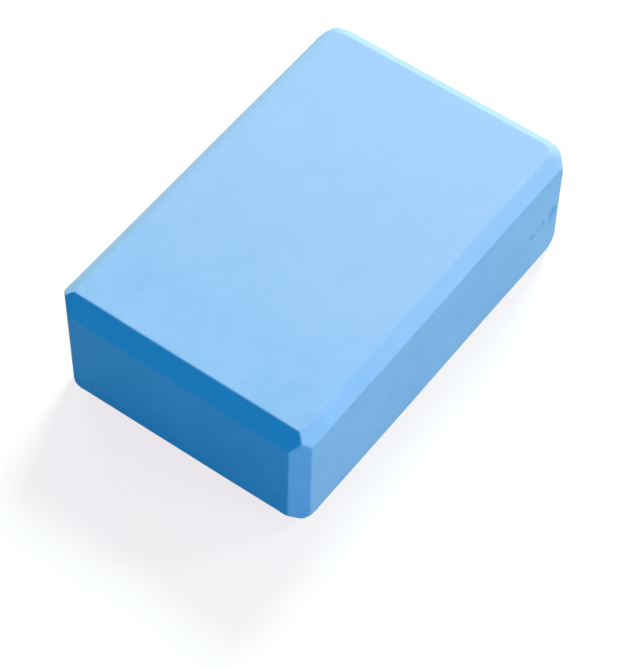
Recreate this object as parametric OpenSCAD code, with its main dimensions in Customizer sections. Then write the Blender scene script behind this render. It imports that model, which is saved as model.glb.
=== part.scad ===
// Foam block: one solid piece of firm closed-cell foam with a flat bevel along every edge.
// Millimetres. +X runs along the block, +Y across it and +Z up, from the centre of its bottom face.

/* [Block] */
// Length of the block, along X
block_length = 230; // [180:1:300]
// Width of the block, along Y
block_width = 150; // [110:1:200]
// Thickness of the block, along Z
block_thickness = 75; // [45:1:110]

/* [Edges] */
// Bevel around the top and bottom faces, measured back from the edge
face_bevel = 7.5; // [2:0.5:15]
// Bevel down each upright corner, measured back from the corner
corner_bevel = 8; // [2:0.5:15]
// Radius that softens the line where a bevel meets a face
arris_radius = 0.8; // [0.2:0.1:2]

/* [Hidden] */
foam_blue = [0.59, 0.80, 0.98];
bevel_angle = 45;
$fn = 32;

// Rectangle with its corners cut off by a square that stands on its point
module bevelled_rectangle(along, across, bevel) {
    trimming_square = ((along + across) / 2 - bevel) / cos(bevel_angle);
    intersection() {
        square([along, across], center = true);
        rotate(bevel_angle)
            square(trimming_square, center = true);
    }
}

// Bar with that outline, as deep as the block is in the third direction
module bevelled_bar(along, across, depth, bevel) {
    linear_extrude(height = depth, center = true)
        offset(r = arris_radius)
            offset(delta = -arris_radius)
                bevelled_rectangle(along, across, bevel);
}

// The block is what three crossing bars share, so each bevel runs the full length of its edge
// and the three bevels at a corner meet in a mitre
module foam_block() {
    color(foam_blue)
        translate([0, 0, block_thickness / 2])
            intersection() {
                bevelled_bar(block_length, block_width, block_thickness, corner_bevel);
                rotate([90, 0, 0])
                    bevelled_bar(block_length, block_thickness, block_width, face_bevel);
                rotate([90, 0, 90])
                    bevelled_bar(block_width, block_thickness, block_length, face_bevel);
            }
}

foam_block();
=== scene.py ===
"""A bevelled foam block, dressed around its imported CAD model. Metres, in the CAD model's own frame."""
import math

import bmesh
import bpy
from mathutils import Matrix, Vector, noise


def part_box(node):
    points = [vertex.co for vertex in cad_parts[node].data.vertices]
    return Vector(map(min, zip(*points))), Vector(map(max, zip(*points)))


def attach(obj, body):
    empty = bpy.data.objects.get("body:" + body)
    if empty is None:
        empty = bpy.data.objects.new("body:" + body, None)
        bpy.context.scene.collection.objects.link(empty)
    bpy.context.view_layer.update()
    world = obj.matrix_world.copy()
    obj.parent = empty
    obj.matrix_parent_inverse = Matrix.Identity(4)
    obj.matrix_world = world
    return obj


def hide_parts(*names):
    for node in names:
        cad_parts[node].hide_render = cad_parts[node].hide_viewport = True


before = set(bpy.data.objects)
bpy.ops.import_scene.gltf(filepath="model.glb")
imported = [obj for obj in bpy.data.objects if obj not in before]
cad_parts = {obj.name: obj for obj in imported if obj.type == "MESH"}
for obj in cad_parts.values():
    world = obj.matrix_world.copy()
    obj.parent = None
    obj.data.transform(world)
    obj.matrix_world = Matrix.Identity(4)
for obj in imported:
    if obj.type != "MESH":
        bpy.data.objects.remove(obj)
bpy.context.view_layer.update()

MM = 0.001

# ---------------------------------------------------------------- the block
LOW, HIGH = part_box("foam_block")
CENTRE = (LOW + HIGH) / 2
HALF = (HIGH - LOW) / 2

SIDES = {
    "left": Vector((-1, 0, 0)),
    "right": Vector((1, 0, 0)),
    "front": Vector((0, -1, 0)),
    "back": Vector((0, 1, 0)),
    "bottom": Vector((0, 0, -1)),
    "top": Vector((0, 0, 1)),
}
# How far each bevel is cut back from its edge, in millimetres, at the low end and the high end of
# that edge along its own axis, and its lean: 0.1 cuts the second face 10 % further back and the
# first face 10 % less. The real bevels are uneven, as if cut by hand, so they differ a little.
BEVELS = {
    ("top", "left"): (8.5, 8.8, 0.10),
    ("top", "right"): (6.25, 6.55, -0.155),
    ("top", "front"): (7.5, 7.4, 0.07),
    ("top", "back"): (6.65, 6.25, -0.11),
    ("bottom", "left"): (10.4, 7.8, 0.0),
    ("bottom", "right"): (7.4, 7.8, 0.0),
    ("bottom", "front"): (7.6, 5.8, 0.0),
    ("bottom", "back"): (7.2, 7.7, 0.0),
    ("left", "front"): (8.1, 7.9, 0.0),
    ("right", "front"): (8.0, 7.7, 0.0),
    ("left", "back"): (9.0, 8.8, 0.0),
    ("right", "back"): (7.7, 8.1, 0.0),
}
ARRIS_REACH = 0.7 * MM
ARRIS_STEPS = 4
ARRIS_ROUNDNESS = 0.5
MERGE_REACH = 0.02 * MM
# More than the mesh has vertices
INDEX_SPAN = 100000
# How much large faces count in the shading: 50 is by their area alone, and more favours them
LARGE_FACE_WEIGHT = 90

# The surface is cut into a grid to shape it: fine near the edges of the block, coarser between
EDGE_BAND = 15 * MM
EDGE_STEP = 1.0 * MM
GRID_STEP = 3.5 * MM

# How softly the planes run into each other at each corner, in millimetres
CORNER_WEAR_MM = {
    ("left", "front", "top"): 0.35,
    ("left", "back", "top"): 0.35,
    ("right", "front", "top"): 1.2,
    ("right", "back", "top"): 0.8,
    ("left", "front", "bottom"): 0.8,
    ("left", "back", "bottom"): 1.6,
    ("right", "front", "bottom"): 1.5,
    ("right", "back", "bottom"): 1.3,
}
# The wear is full as far as the first distance from a corner, and gone at the second
CORNER_FULL = 7.65 * MM
CORNER_REACH = 17 * MM
# A point that is softened by less than this is left alone
SHARP = 0.02 * MM
WEAR_PASSES = 4

WAVE_LENGTH = 70 * MM
WAVE_DEPTH = 0.22 * MM
# Without a seed of its own, Blender's vector noise differs from run to run
WAVE_SEED = 2
# How far up the sides the wave fades out towards the flat base
FLAT_BASE = 6 * MM

# Dents near the right end of the front face: x and z of the middle, half width, half height, depth
NICKS_MM = [
    (92.3, 35.6, 2.1, 2.7, 0.75),
    (91.3, 31.8, 1.0, 2.6, 0.45),
    (88.0, 33.8, 1.1, 3.0, 0.5),
    (82.6, 33.6, 3.2, 3.2, 0.55),
    (101.0, 35.5, 5.0, 6.0, 1.1),
    (99.6, 29.6, 1.1, 2.8, 0.5),
]
# Share of its reach over which a nick has its full depth
NICK_CORE = 0.35
# How ragged the outline of a nick is, and how finely, in waves to the metre
NICK_RAGGEDNESS = 0.35
NICK_RAG_SCALE = 900
# The fine cuts go this far past the nicks, only through faces this close to the front plane
NICK_MARGIN = 1.5 * MM
NICK_GRID = 0.45 * MM
FRONT_SKIN = 1 * MM
# Points further behind the front plane than this are never pressed in
NICK_ZONE = 4 * MM
# A dent this deep has its full painted shade, a darker colour for the shade in its hollow
PAINTED_DENT_SHADE_DEPTH = 0.5 * MM


def everything(mesh):
    return mesh.verts[:] + mesh.edges[:] + mesh.faces[:]


def bevel_plane(sides, cuts):
    """A point on one bevel and its outward normal."""
    first, second = (SIDES[side] for side in sides)
    low_cut, high_cut, lean = cuts
    along = Vector([1 - abs(part) for part in first + second])
    length = 2 * along.dot(HALF)
    edge_middle = CENTRE + Vector([part * half for part, half in zip(first + second, HALF)])
    cut = (low_cut + high_cut) / 2 * MM
    point = edge_middle - second * cut * (1 - lean)
    slope = along * (high_cut - low_cut) * MM * (1 - lean * lean) / length
    normal = first * (1 - lean) + second * (1 + lean) + slope
    return point, normal.normalized()


def block_planes():
    """The outward normal and the reach of all eighteen planes that bound the block."""
    points = {}
    for side, normal in SIDES.items():
        points[side] = (CENTRE + normal * abs(normal.dot(HALF)), normal)
    points.update({sides: bevel_plane(sides, cuts) for sides, cuts in BEVELS.items()})
    return [(normal, normal.dot(point)) for point, normal in points.values()]


def slice_points(low, high):
    """Where the surface is cut across one axis: close together near both ends, wider apart between."""
    edge_cuts = round(EDGE_BAND / EDGE_STEP)
    middle = high - low - 2 * EDGE_BAND
    middle_cuts = max(1, round(middle / GRID_STEP))
    places = [low + EDGE_STEP * index for index in range(1, edge_cuts)]
    places += [low + EDGE_BAND + middle * index / middle_cuts for index in range(middle_cuts + 1)]
    places += [high - EDGE_STEP * index for index in range(1, edge_cuts)]
    return places


def slice_across(mesh, axis, place, geometry=None):
    """Cuts the surface by a plane square to one axis, and returns the geometry that was cut."""
    point = Vector(CENTRE)
    point[axis] = place
    normal = Vector([part == axis for part in range(3)])
    cut = bmesh.ops.bisect_plane(mesh, geom=geometry or everything(mesh), plane_co=point, plane_no=normal)
    return cut["geom"]


def ramp(value, start, end):
    """Smooth step from 0 at start to 1 at end."""
    share = min(1, max(0, (value - start) / (end - start)))
    return share * share * (3 - 2 * share)


def corner_wear(point):
    """How softly the planes meet near the nearest corner, or 0 away from all corners."""
    offset = point - CENTRE
    corner = (
        "right" if offset.x > 0 else "left",
        "back" if offset.y > 0 else "front",
        "top" if offset.z > 0 else "bottom",
    )
    distance = Vector([half - abs(part) for half, part in zip(HALF, offset)]).length
    return CORNER_WEAR_MM[corner] * MM * (1 - ramp(distance, CORNER_FULL, CORNER_REACH))


def worn(point, planes):
    """Moves a point on the surface in to where its corner has worn round."""
    soft = corner_wear(point)
    if soft < SHARP:
        return point
    for _ in range(WEAR_PASSES):
        pulls = [math.exp((normal.dot(point) - reach) / soft) for normal, reach in planes]
        total = sum(pulls)
        slope = sum((normal * pull for (normal, _), pull in zip(planes, pulls)), Vector()) / total
        point = point - slope * soft * math.log(total) / slope.length_squared
    return point


def hand_cut_wave(point):
    """The slow unevenness of hand-cut foam. The face that the block rests on stays flat."""
    shift = noise.noise_vector(point / WAVE_LENGTH) * WAVE_DEPTH
    shift.z *= ramp(point.z, LOW.z, LOW.z + FLAT_BASE)
    return shift


def nick_depth(point):
    """How far the nicks press in the front face at this point."""
    if point.y >= LOW.y + NICK_ZONE:
        return 0
    ragged = 1 + NICK_RAGGEDNESS * noise.noise(point * NICK_RAG_SCALE)
    deepest = 0
    for x, z, half_width, half_height, depth in NICKS_MM:
        across = (point.x / MM - x) / half_width
        upward = (point.z / MM - z) / half_height
        reach = math.hypot(across, upward) * ragged
        deepest = max(deepest, depth * MM * (1 - ramp(reach, NICK_CORE, 1)))
    return deepest


def refine_nicks(mesh):
    """Adds fine cuts through the stretch of the front face that has the nicks."""
    low = [min(nick[part] - nick[part + 2] for nick in NICKS_MM) * MM - NICK_MARGIN for part in (0, 1)]
    high = [max(nick[part] + nick[part + 2] for nick in NICKS_MM) * MM + NICK_MARGIN for part in (0, 1)]
    near = []
    for face in mesh.faces:
        x, y, z = face.calc_center_median()
        if y < LOW.y + FRONT_SKIN and low[0] < x < high[0] and low[1] < z < high[1]:
            near.append(face)
    edges = dict.fromkeys(edge for face in near for edge in face.edges)
    verts = dict.fromkeys(vert for face in near for vert in face.verts)
    geometry = near + list(edges) + list(verts)
    # The first of these places lies along x, which is axis 0, and the second along z, which is axis 2
    for axis, part in ((0, 0), (2, 1)):
        count = round((high[part] - low[part]) / NICK_GRID)
        for index in range(1, count):
            place = low[part] + (high[part] - low[part]) * index / count
            geometry = slice_across(mesh, axis, place, geometry)


def cut_bevels(mesh):
    """Cuts the twelve bevels off a plain box, and rounds the arrises between all the planes."""
    for sides, cuts in BEVELS.items():
        point, normal = bevel_plane(sides, cuts)
        cut = bmesh.ops.bisect_plane(
            mesh, geom=everything(mesh), plane_co=point, plane_no=normal, clear_outer=True
        )
        rim = [part for part in cut["geom_cut"] if isinstance(part, bmesh.types.BMEdge)]
        bmesh.ops.contextual_create(mesh, geom=rim)
    bmesh.ops.remove_doubles(mesh, verts=mesh.verts, dist=MERGE_REACH)
    bmesh.ops.bevel(
        mesh, geom=mesh.edges[:], offset=ARRIS_REACH, segments=ARRIS_STEPS, profile=ARRIS_ROUNDNESS,
        affect="EDGES", clamp_overlap=True,
    )


def cut_grid(mesh):
    """Cuts the surface finely enough to be shaped."""
    for axis in (2, 1, 0):
        for place in slice_points(LOW[axis], HIGH[axis]):
            slice_across(mesh, axis, place)
    refine_nicks(mesh)


def shape_surface(mesh):
    """Wears the corners, presses the nicks in and adds the wave. Each point keeps how dented it is, for
    the painted shade in the dents.
    """
    planes = block_planes()
    noise.seed_set(WAVE_SEED)
    painted_dent_shade = mesh.verts.layers.float.new("painted_dent_shade")
    for vertex in mesh.verts:
        vertex.co = worn(vertex.co, planes)
        press = nick_depth(vertex.co)
        # How deep a point is pressed in sets how much painted shade it gets
        vertex[painted_dent_shade] = min(1, press / PAINTED_DENT_SHADE_DEPTH)
        vertex.co += hand_cut_wave(vertex.co) + SIDES["back"] * press
    bmesh.ops.dissolve_degenerate(mesh, edges=mesh.edges, dist=MERGE_REACH)


def face_number(face):
    """A number from the face's corners, which puts the faces in the same order each run."""
    first, second, third = sorted(vert.index for vert in face.verts)[:3]
    return (first * INDEX_SPAN + second) * INDEX_SPAN + third


def finish_faces(mesh):
    for face in mesh.faces:
        face.smooth = True
    bmesh.ops.recalc_face_normals(mesh, faces=mesh.faces)
    mesh.verts.index_update()
    mesh.faces.sort(key=face_number)


def make_block():
    mesh = bmesh.new()
    box = Matrix.Translation(CENTRE) @ Matrix.Diagonal((*(2 * HALF), 1))
    bmesh.ops.create_cube(mesh, size=1, matrix=box)
    cut_bevels(mesh)
    cut_grid(mesh)
    shape_surface(mesh)
    finish_faces(mesh)
    data = bpy.data.meshes.new("foam_block_skin")
    mesh.to_mesh(data)
    mesh.free()
    block = bpy.data.objects.new("foam_block_skin", data)
    bpy.context.scene.collection.objects.link(block)
    weighted = block.modifiers.new("face_weighted_normals", "WEIGHTED_NORMAL")
    weighted.weight = LARGE_FACE_WEIGHT
    block.data.materials.append(foam_material())
    return block


# ---------------------------------------------------------------- materials
FOAM_LIGHT = (0.270, 0.542, 0.824, 1)
FOAM_DARK = (0.205, 0.459, 0.732, 1)
# Painted sheen: a paler blue on the top face stands in for the glare of the lamps
FOAM_PAINTED_SHEEN = (0.277, 0.509, 0.767, 1)
# Painted shade: a darker blue for the shade that falls in the dents' hollows
FOAM_PAINTED_DENT_SHADE = (0.195, 0.425, 0.68, 1)
# The noise behind the foam's clouds of colour, its fine grain and the clouds that the painted sheen on
# the top ends in.
# Nearly all of such noise lies between the low and the high value.
FOAM_CLOUDS = {"Scale": 48, "Detail": 5, "Roughness": 0.65}
FOAM_GRAIN = {"Scale": 1400, "Detail": 2, "Roughness": 0.6}
PAINTED_SHEEN_CLOUDS = {"Scale": 34, "Detail": 4, "Roughness": 0.6}
NOISE_LOW = 0.3
NOISE_HIGH = 0.7
# How much of the mottle is grain, and how many of the skin's tiny cells there are to the metre
GRAIN_SHARE = 0.4
CELL_SCALE = 2300
# How strong and how high the cells and the grain stand, the range of the roughness, and the shine
SKIN_RELIEF = {"Strength": 0.35, "Distance": 0.05 * MM}
ROUGHNESS = {"To Min": 0.56, "To Max": 0.64}
SPECULAR = 0.06
# How strong the painted sheen on the top face is, a paler colour that stands in for the lamps' glare,
# where along the block it starts and is full, how far its edge drifts, and how deep below the top it
# reaches
PAINTED_SHEEN_SHARE = 0.65
PAINTED_SHEEN_START = -105 * MM
PAINTED_SHEEN_FULL = -15 * MM
PAINTED_SHEEN_DRIFT = 20 * MM
PAINTED_SHEEN_DEPTH = 9 * MM
# The colour that the lamps light, and the glow that brings what is seen of the floor up to white
FLOOR_COLOUR = (0.21, 0.33, 0.34, 1)
FLOOR_GLOW = (1.0, 0.888, 0.835, 1)
FLOOR_WHITE = 0.82

# Blender's Mix node has sockets of the same name for numbers and for colours, so they go by place
MIX_NUMBERS = (2, 3)
MIX_NUMBER_OUT = 0
MIX_COLOURS = (6, 7)
MIX_COLOUR_OUT = 2


def new_material(name):
    material = bpy.data.materials.new(name)
    material.use_nodes = True
    material.node_tree.nodes.clear()
    return material, material.node_tree


def add_node(tree, kind, inputs=None, **settings):
    node = tree.nodes.new(kind)
    for name, value in settings.items():
        setattr(node, name, value)
    for name, value in (inputs or {}).items():
        node.inputs[name].default_value = value
    return node


def calculate(tree, operation, first, second):
    """Works out one value from two, and returns it."""
    node = add_node(tree, "ShaderNodeMath", operation=operation)
    tree.links.new(first, node.inputs[0])
    tree.links.new(second, node.inputs[1])
    return node.outputs["Value"]


def rescale(tree, value, inputs, **settings):
    """Maps a value from one range to another, and returns it."""
    node = add_node(tree, "ShaderNodeMapRange", inputs, **settings)
    tree.links.new(value, node.inputs["Value"])
    return node.outputs["Result"]


def tint(tree, colour, share, other):
    """Mixes a share of another, fixed colour into a colour, and returns it."""
    mix = add_node(tree, "ShaderNodeMix", data_type="RGBA")
    first, second = MIX_COLOURS
    tree.links.new(share, mix.inputs["Factor"])
    tree.links.new(colour, mix.inputs[first])
    mix.inputs[second].default_value = other
    return mix.outputs[MIX_COLOUR_OUT]


def painted_sheen_share(tree, place):
    """A faint painted sheen over the top face, a paler colour for the lamps' glare, which fades out in
    clouds towards the left end.
    """
    spot = add_node(tree, "ShaderNodeSeparateXYZ")
    tree.links.new(place, spot.inputs["Vector"])
    clouds = add_node(tree, "ShaderNodeTexNoise", PAINTED_SHEEN_CLOUDS)
    tree.links.new(place, clouds.inputs["Vector"])
    drift = rescale(tree, clouds.outputs["Fac"], {
        "From Min": NOISE_LOW, "From Max": NOISE_HIGH, "To Min": -PAINTED_SHEEN_DRIFT, "To Max": PAINTED_SHEEN_DRIFT,
    })
    along = calculate(tree, "ADD", spot.outputs["X"], drift)
    lengthwise = rescale(tree, along, {
        "From Min": PAINTED_SHEEN_START, "From Max": PAINTED_SHEEN_FULL, "To Max": PAINTED_SHEEN_SHARE,
    }, interpolation_type="SMOOTHSTEP")
    upward = rescale(tree, spot.outputs["Z"], {"From Min": HIGH.z - PAINTED_SHEEN_DEPTH, "From Max": HIGH.z - MM})
    return calculate(tree, "MULTIPLY", lengthwise, upward)


def foam_colour(tree, place, clouds, grain):
    """Two blues mottled by clouds and grain, a painted sheen on top, and painted shade darkening the
    dents.
    """
    mottle = add_node(tree, "ShaderNodeMix", {"Factor": GRAIN_SHARE}, data_type="FLOAT")
    for texture, socket in zip((clouds, grain), MIX_NUMBERS):
        tree.links.new(texture.outputs["Fac"], mottle.inputs[socket])
    blues = add_node(tree, "ShaderNodeValToRGB")
    dark, light = blues.color_ramp.elements
    dark.position = NOISE_LOW
    dark.color = FOAM_DARK
    light.position = NOISE_HIGH
    light.color = FOAM_LIGHT
    tree.links.new(mottle.outputs[MIX_NUMBER_OUT], blues.inputs["Fac"])
    # Painted sheen: the top face is mixed towards a paler blue for the lamps' glare
    with_painted_sheen = tint(tree, blues.outputs["Color"], painted_sheen_share(tree, place), FOAM_PAINTED_SHEEN)
    # Painted shade: the dents are mixed towards a darker blue for the shade in their hollows
    painted_dent_shade = add_node(tree, "ShaderNodeAttribute", attribute_name="painted_dent_shade")
    return tint(tree, with_painted_sheen, painted_dent_shade.outputs["Fac"], FOAM_PAINTED_DENT_SHADE)


def foam_relief(tree, grain, cells):
    """A skin of tiny cells with the grain over it, as a bumped normal."""
    skin = add_node(tree, "ShaderNodeBump", SKIN_RELIEF)
    tree.links.new(cells.outputs["Distance"], skin.inputs["Height"])
    ripple = add_node(tree, "ShaderNodeBump", SKIN_RELIEF)
    tree.links.new(grain.outputs["Fac"], ripple.inputs["Height"])
    tree.links.new(skin.outputs["Normal"], ripple.inputs["Normal"])
    return ripple.outputs["Normal"]


def foam_material():
    """Matt closed-cell foam: faint clouds of colour, a fine grain and a skin of tiny cells."""
    material, tree = new_material("blue_foam")
    place = add_node(tree, "ShaderNodeTexCoord").outputs["Object"]
    clouds = add_node(tree, "ShaderNodeTexNoise", FOAM_CLOUDS)
    grain = add_node(tree, "ShaderNodeTexNoise", FOAM_GRAIN)
    cells = add_node(tree, "ShaderNodeTexVoronoi", {"Scale": CELL_SCALE})
    for texture in (clouds, grain, cells):
        tree.links.new(place, texture.inputs["Vector"])
    shader = add_node(tree, "ShaderNodeBsdfPrincipled", {"Specular IOR Level": SPECULAR})
    tree.links.new(foam_colour(tree, place, clouds, grain), shader.inputs["Base Color"])
    tree.links.new(rescale(tree, clouds.outputs["Fac"], ROUGHNESS), shader.inputs["Roughness"])
    tree.links.new(foam_relief(tree, grain, cells), shader.inputs["Normal"])
    output = add_node(tree, "ShaderNodeOutputMaterial")
    tree.links.new(shader.outputs["BSDF"], output.inputs["Surface"])
    return material


def seen_ray(tree):
    """1 for rays that show something to the camera, straight on, in a reflection or through glass."""
    rays = add_node(tree, "ShaderNodeLightPath")
    seen = rays.outputs["Is Camera Ray"]
    for kind in ("Is Glossy Ray", "Is Transmission Ray"):
        seen = calculate(tree, "MAXIMUM", seen, rays.outputs[kind])
    return seen


def floor_material():
    """Pale floor that looks white, apart from the block's shadow."""
    material, tree = new_material("pale_floor")
    link = tree.links.new
    diffuse = add_node(tree, "ShaderNodeBsdfDiffuse", {"Color": FLOOR_COLOUR})
    glow = add_node(tree, "ShaderNodeEmission", {"Color": FLOOR_GLOW, "Strength": FLOOR_WHITE})
    dark = add_node(tree, "ShaderNodeEmission", {"Strength": 0.0})
    pick = add_node(tree, "ShaderNodeMixShader")
    link(seen_ray(tree), pick.inputs["Fac"])
    link(dark.outputs["Emission"], pick.inputs[1])
    link(glow.outputs["Emission"], pick.inputs[2])
    both = add_node(tree, "ShaderNodeAddShader")
    link(diffuse.outputs["BSDF"], both.inputs[0])
    link(pick.outputs["Shader"], both.inputs[1])
    output = add_node(tree, "ShaderNodeOutputMaterial")
    link(both.outputs["Shader"], output.inputs["Surface"])
    return material


# ---------------------------------------------------------------- stage, light and camera
FLOOR_SIZE = 12.0
# The floor lies a hair under the base, so that the two planes never fight for the same place
FLOOR_DROP = 0.02 * MM


def make_floor():
    bpy.ops.mesh.primitive_plane_add(size=FLOOR_SIZE, location=(0, 0, LOW.z - FLOOR_DROP))
    floor = bpy.context.object
    floor.name = "floor"
    floor.data.materials.append(floor_material())


# What is seen of the world is white. Its light on the block is a weak, cool fill
WORLD_WHITE = (1, 1, 1, 1)
WORLD_FILL = (0.0, 0.87, 1.0, 1)
FILL_STRENGTH = 0.15


def make_world():
    world = bpy.data.worlds.new("studio")
    bpy.context.scene.world = world
    world.use_nodes = True
    tree = world.node_tree
    tree.nodes.clear()
    link = tree.links.new
    white = add_node(tree, "ShaderNodeBackground", {"Color": WORLD_WHITE, "Strength": 1.0})
    fill = add_node(tree, "ShaderNodeBackground", {"Color": WORLD_FILL, "Strength": FILL_STRENGTH})
    pick = add_node(tree, "ShaderNodeMixShader")
    link(seen_ray(tree), pick.inputs["Fac"])
    link(fill.outputs["Background"], pick.inputs[1])
    link(white.outputs["Background"], pick.inputs[2])
    output = add_node(tree, "ShaderNodeOutputWorld")
    link(pick.outputs["Shader"], output.inputs["Surface"])


def towards(azimuth, elevation):
    """Unit vector for an azimuth from -Y towards +X and an elevation, both in degrees."""
    across, up = math.radians(azimuth), math.radians(elevation)
    return Vector((
        math.sin(across) * math.cos(up),
        -math.cos(across) * math.cos(up),
        math.sin(up),
    ))


# Soft studio light: warm boxes on the right and in front, a neutral one behind, a cool one on the left
WARM = (1.0, 0.73, 0.62)
NEUTRAL = (0.93, 0.97, 0.97)
COOL = (0.0, 0.47, 1.0)
SOFTBOX_SIZE = 0.7
SOFTBOX_DISTANCE = 2.4
# Azimuth and elevation in degrees, power in watts and colour of each softbox
SOFTBOXES = {
    "key_back": (104, 42, 80.5, WARM),
    "low_back": (150, 12, 24.0, NEUTRAL),
    "key_front": (48, 34, 20.0, WARM),
    "low_front": (12, 12, 28.0, WARM),
    "fill_left": (312, 31, 27.2, COOL),
}


def make_lights():
    for name, (azimuth, elevation, power, colour) in SOFTBOXES.items():
        light = bpy.data.lights.new(name, "AREA")
        light.shape = "SQUARE"
        light.size = SOFTBOX_SIZE
        light.energy = power
        light.color = colour
        away = towards(azimuth, elevation)
        box = bpy.data.objects.new(name, light)
        box.location = CENTRE + away * SOFTBOX_DISTANCE
        box.rotation_mode = "QUATERNION"
        box.rotation_quaternion = away.to_track_quat("Z", "Y")
        bpy.context.scene.collection.objects.link(box)


# The camera that took the picture, found from the block's straight edges: the direction that it stands
# in and its roll, in degrees, how far it is from the origin, in metres, and its focal length and the
# place where it sees the origin, in pixels.
IMAGE_WIDTH, IMAGE_HEIGHT = 640, 669
SENSOR_MM = 36.0
CAMERA_AZIMUTH = -54.91
CAMERA_ELEVATION = 53.85
CAMERA_ROLL = 1.53
CAMERA_DISTANCE = 1.34324
FOCAL_PIXELS = 2604.7
ORIGIN_PIXEL = (316.67, 309.88)
CLIP_NEAR = 0.05
CLIP_FAR = 50


def make_camera():
    roll = math.radians(CAMERA_ROLL)
    back = towards(CAMERA_AZIMUTH, CAMERA_ELEVATION)
    level = towards(CAMERA_AZIMUTH + 90, 0)
    upright = back.cross(level)
    right = level * math.cos(roll) + upright * math.sin(roll)
    up = upright * math.cos(roll) - level * math.sin(roll)
    metres_per_pixel = CAMERA_DISTANCE / FOCAL_PIXELS
    across = (ORIGIN_PIXEL[0] - IMAGE_WIDTH / 2) * metres_per_pixel
    down = (ORIGIN_PIXEL[1] - IMAGE_HEIGHT / 2) * metres_per_pixel
    camera = bpy.data.cameras.new("camera")
    camera.sensor_width = SENSOR_MM
    camera.lens = SENSOR_MM * FOCAL_PIXELS / max(IMAGE_WIDTH, IMAGE_HEIGHT)
    camera.clip_start = CLIP_NEAR
    camera.clip_end = CLIP_FAR
    holder = bpy.data.objects.new("camera", camera)
    place = back * CAMERA_DISTANCE - right * across + up * down
    turn = Matrix((right, up, back)).transposed()
    holder.matrix_world = Matrix.Translation(place) @ turn.to_4x4()
    bpy.context.scene.collection.objects.link(holder)
    bpy.context.scene.camera = holder


# ---------------------------------------------------------------- the scene
make_camera()
block = make_block()
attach(block, "root")
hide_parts("foam_block")
make_floor()
make_world()
make_lights()
bpy.context.scene.view_settings.view_transform = "Standard"
